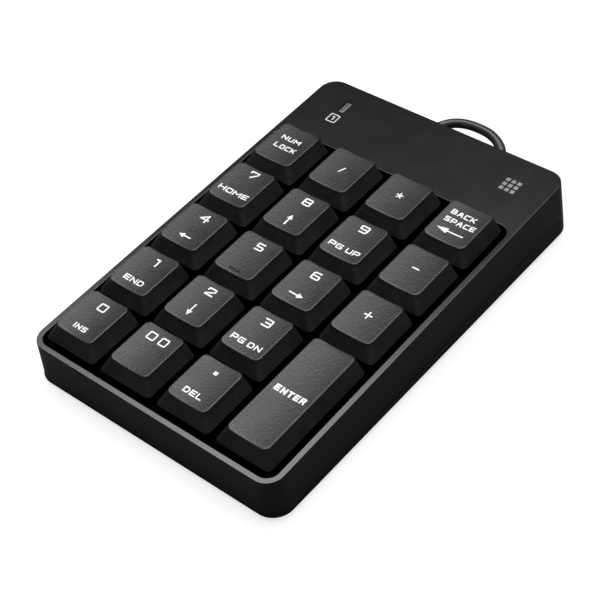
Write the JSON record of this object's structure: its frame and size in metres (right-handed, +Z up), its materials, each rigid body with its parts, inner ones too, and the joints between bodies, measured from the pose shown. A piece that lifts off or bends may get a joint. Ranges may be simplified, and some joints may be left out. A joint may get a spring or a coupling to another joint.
{
  "type": "numeric keypad",
  "caption": "Corded numeric keypad: wedge-shaped two-shell case, sunken key well with dished travelling keys over a rubber dome sheet, status light and USB cable.",
  "frame": {"origin": "centre of the case's flat underside; the feet stand 0.8 mm below it", "axes": "+Z up, +Y away from the user towards the cable, +X to the user's right. The deck is tilted 2 degrees about X, higher at the rear, and the keys travel square to the deck."},
  "size_m": [0.0822, 0.1363, 0.0214],
  "materials": {
    "case_black": "fine satin texture",
    "key_black": "fine matte texture with smooth side walls",
    "rubber_grey": "translucent silicone",
    "rubber_black": "matte",
    "foil_clear": "smooth polyester film",
    "foil_spacer": "smooth polyester film",
    "steel": "plain plated steel",
    "board_green": "solder resist",
    "chip_black": "moulded epoxy",
    "housing_white": "plain moulded nylon",
    "led_green": "clear tinted epoxy",
    "pipe_grey": "smoked clear plastic",
    "cable_black": "satin vinyl jacket"
  },
  "bodies": {
    "case": {"top_case": "case_black", "bottom_case": "case_black", "dome_sheet": "rubber_grey", "upper_membrane": "foil_clear", "spacer_membrane": "foil_spacer", "lower_membrane": "foil_clear", "backing_plate": "steel", "controller_board": "board_green", "controller_chip": "chip_black", "cable_header": "housing_white", "membrane_clamp_bar": "steel", "clamp_screw_1": "steel", "clamp_screw_2": "steel", "status_led": "led_green", "status_light_pipe": "pipe_grey", "case_screw_1": "steel", "case_screw_2": "steel", "case_screw_3": "steel", "case_screw_4": "steel", "case_screw_5": "steel", "case_screw_6": "steel", "foot_front_left": "rubber_black", "foot_front_right": "rubber_black", "foot_rear_left": "rubber_black", "foot_rear_right": "rubber_black", "usb_cable": "cable_black", "strain_relief": "rubber_black", "usb_plug_grip": "cable_black", "usb_plug_shell": "steel"},
    "key_num_lock": {"key_num_lock": "key_black"},
    "key_divide": {"key_divide": "key_black"},
    "key_multiply": {"key_multiply": "key_black"},
    "key_backspace": {"key_backspace": "key_black"},
    "key_7": {"key_7": "key_black"},
    "key_8": {"key_8": "key_black"},
    "key_9": {"key_9": "key_black"},
    "key_minus": {"key_minus": "key_black"},
    "key_4": {"key_4": "key_black"},
    "key_5": {"key_5": "key_black"},
    "key_6": {"key_6": "key_black"},
    "key_plus": {"key_plus": "key_black"},
    "key_1": {"key_1": "key_black"},
    "key_2": {"key_2": "key_black"},
    "key_3": {"key_3": "key_black"},
    "key_0": {"key_0": "key_black"},
    "key_00": {"key_00": "key_black"},
    "key_decimal": {"key_decimal": "key_black"},
    "key_enter": {"key_enter": "key_black"},
    "stabilizer": {"enter_stabilizer_wire": "steel"}
  },
  "joints": [
    {"name": "press_num_lock", "type": "slide", "parent": "case", "child": "key_num_lock", "axis": [0, 0.0349, -0.9994], "range_m": [0, 0.0028], "stiffness_N_per_m": 100, "springref_m": -0.003, "deforming": ["dome_sheet"]},
    {"name": "press_divide", "type": "slide", "parent": "case", "child": "key_divide", "axis": [0, 0.0349, -0.9994], "range_m": [0, 0.0028], "stiffness_N_per_m": 100, "springref_m": -0.003, "deforming": ["dome_sheet"]},
    {"name": "press_multiply", "type": "slide", "parent": "case", "child": "key_multiply", "axis": [0, 0.0349, -0.9994], "range_m": [0, 0.0028], "stiffness_N_per_m": 100, "springref_m": -0.003, "deforming": ["dome_sheet"]},
    {"name": "press_backspace", "type": "slide", "parent": "case", "child": "key_backspace", "axis": [0, 0.0349, -0.9994], "range_m": [0, 0.0028], "stiffness_N_per_m": 100, "springref_m": -0.003, "deforming": ["dome_sheet"]},
    {"name": "press_7", "type": "slide", "parent": "case", "child": "key_7", "axis": [0, 0.0349, -0.9994], "range_m": [0, 0.0028], "stiffness_N_per_m": 100, "springref_m": -0.003, "deforming": ["dome_sheet"]},
    {"name": "press_8", "type": "slide", "parent": "case", "child": "key_8", "axis": [0, 0.0349, -0.9994], "range_m": [0, 0.0028], "stiffness_N_per_m": 100, "springref_m": -0.003, "deforming": ["dome_sheet"]},
    {"name": "press_9", "type": "slide", "parent": "case", "child": "key_9", "axis": [0, 0.0349, -0.9994], "range_m": [0, 0.0028], "stiffness_N_per_m": 100, "springref_m": -0.003, "deforming": ["dome_sheet"]},
    {"name": "press_minus", "type": "slide", "parent": "case", "child": "key_minus", "axis": [0, 0.0349, -0.9994], "range_m": [0, 0.0028], "stiffness_N_per_m": 100, "springref_m": -0.003, "deforming": ["dome_sheet"]},
    {"name": "press_4", "type": "slide", "parent": "case", "child": "key_4", "axis": [0, 0.0349, -0.9994], "range_m": [0, 0.0028], "stiffness_N_per_m": 100, "springref_m": -0.003, "deforming": ["dome_sheet"]},
    {"name": "press_5", "type": "slide", "parent": "case", "child": "key_5", "axis": [0, 0.0349, -0.9994], "range_m": [0, 0.0028], "stiffness_N_per_m": 100, "springref_m": -0.003, "deforming": ["dome_sheet"]},
    {"name": "press_6", "type": "slide", "parent": "case", "child": "key_6", "axis": [0, 0.0349, -0.9994], "range_m": [0, 0.0028], "stiffness_N_per_m": 100, "springref_m": -0.003, "deforming": ["dome_sheet"]},
    {"name": "press_plus", "type": "slide", "parent": "case", "child": "key_plus", "axis": [0, 0.0349, -0.9994], "range_m": [0, 0.0028], "stiffness_N_per_m": 100, "springref_m": -0.003, "deforming": ["dome_sheet"]},
    {"name": "press_1", "type": "slide", "parent": "case", "child": "key_1", "axis": [0, 0.0349, -0.9994], "range_m": [0, 0.0028], "stiffness_N_per_m": 100, "springref_m": -0.003, "deforming": ["dome_sheet"]},
    {"name": "press_2", "type": "slide", "parent": "case", "child": "key_2", "axis": [0, 0.0349, -0.9994], "range_m": [0, 0.0028], "stiffness_N_per_m": 100, "springref_m": -0.003, "deforming": ["dome_sheet"]},
    {"name": "press_3", "type": "slide", "parent": "case", "child": "key_3", "axis": [0, 0.0349, -0.9994], "range_m": [0, 0.0028], "stiffness_N_per_m": 100, "springref_m": -0.003, "deforming": ["dome_sheet"]},
    {"name": "press_0", "type": "slide", "parent": "case", "child": "key_0", "axis": [0, 0.0349, -0.9994], "range_m": [0, 0.0028], "stiffness_N_per_m": 100, "springref_m": -0.003, "deforming": ["dome_sheet"]},
    {"name": "press_00", "type": "slide", "parent": "case", "child": "key_00", "axis": [0, 0.0349, -0.9994], "range_m": [0, 0.0028], "stiffness_N_per_m": 100, "springref_m": -0.003, "deforming": ["dome_sheet"]},
    {"name": "press_decimal", "type": "slide", "parent": "case", "child": "key_decimal", "axis": [0, 0.0349, -0.9994], "range_m": [0, 0.0028], "stiffness_N_per_m": 100, "springref_m": -0.003, "deforming": ["dome_sheet"]},
    {"name": "press_enter", "type": "slide", "parent": "case", "child": "key_enter", "axis": [0, 0.0349, -0.9994], "range_m": [0, 0.0028], "stiffness_N_per_m": 100, "springref_m": -0.003, "deforming": ["dome_sheet"]},
    {"name": "stabilizer_hinge", "type": "hinge", "parent": "case", "child": "stabilizer", "pos_m": [0.02438, -0.03979, 0.01196], "axis": [0, 0.9994, 0.0349], "range_deg": [0, 18.5]}
  ],
  "couplings": [
    {"joint": "stabilizer_hinge", "follows": "press_enter", "rad_per_m": 114.9}
  ]
}
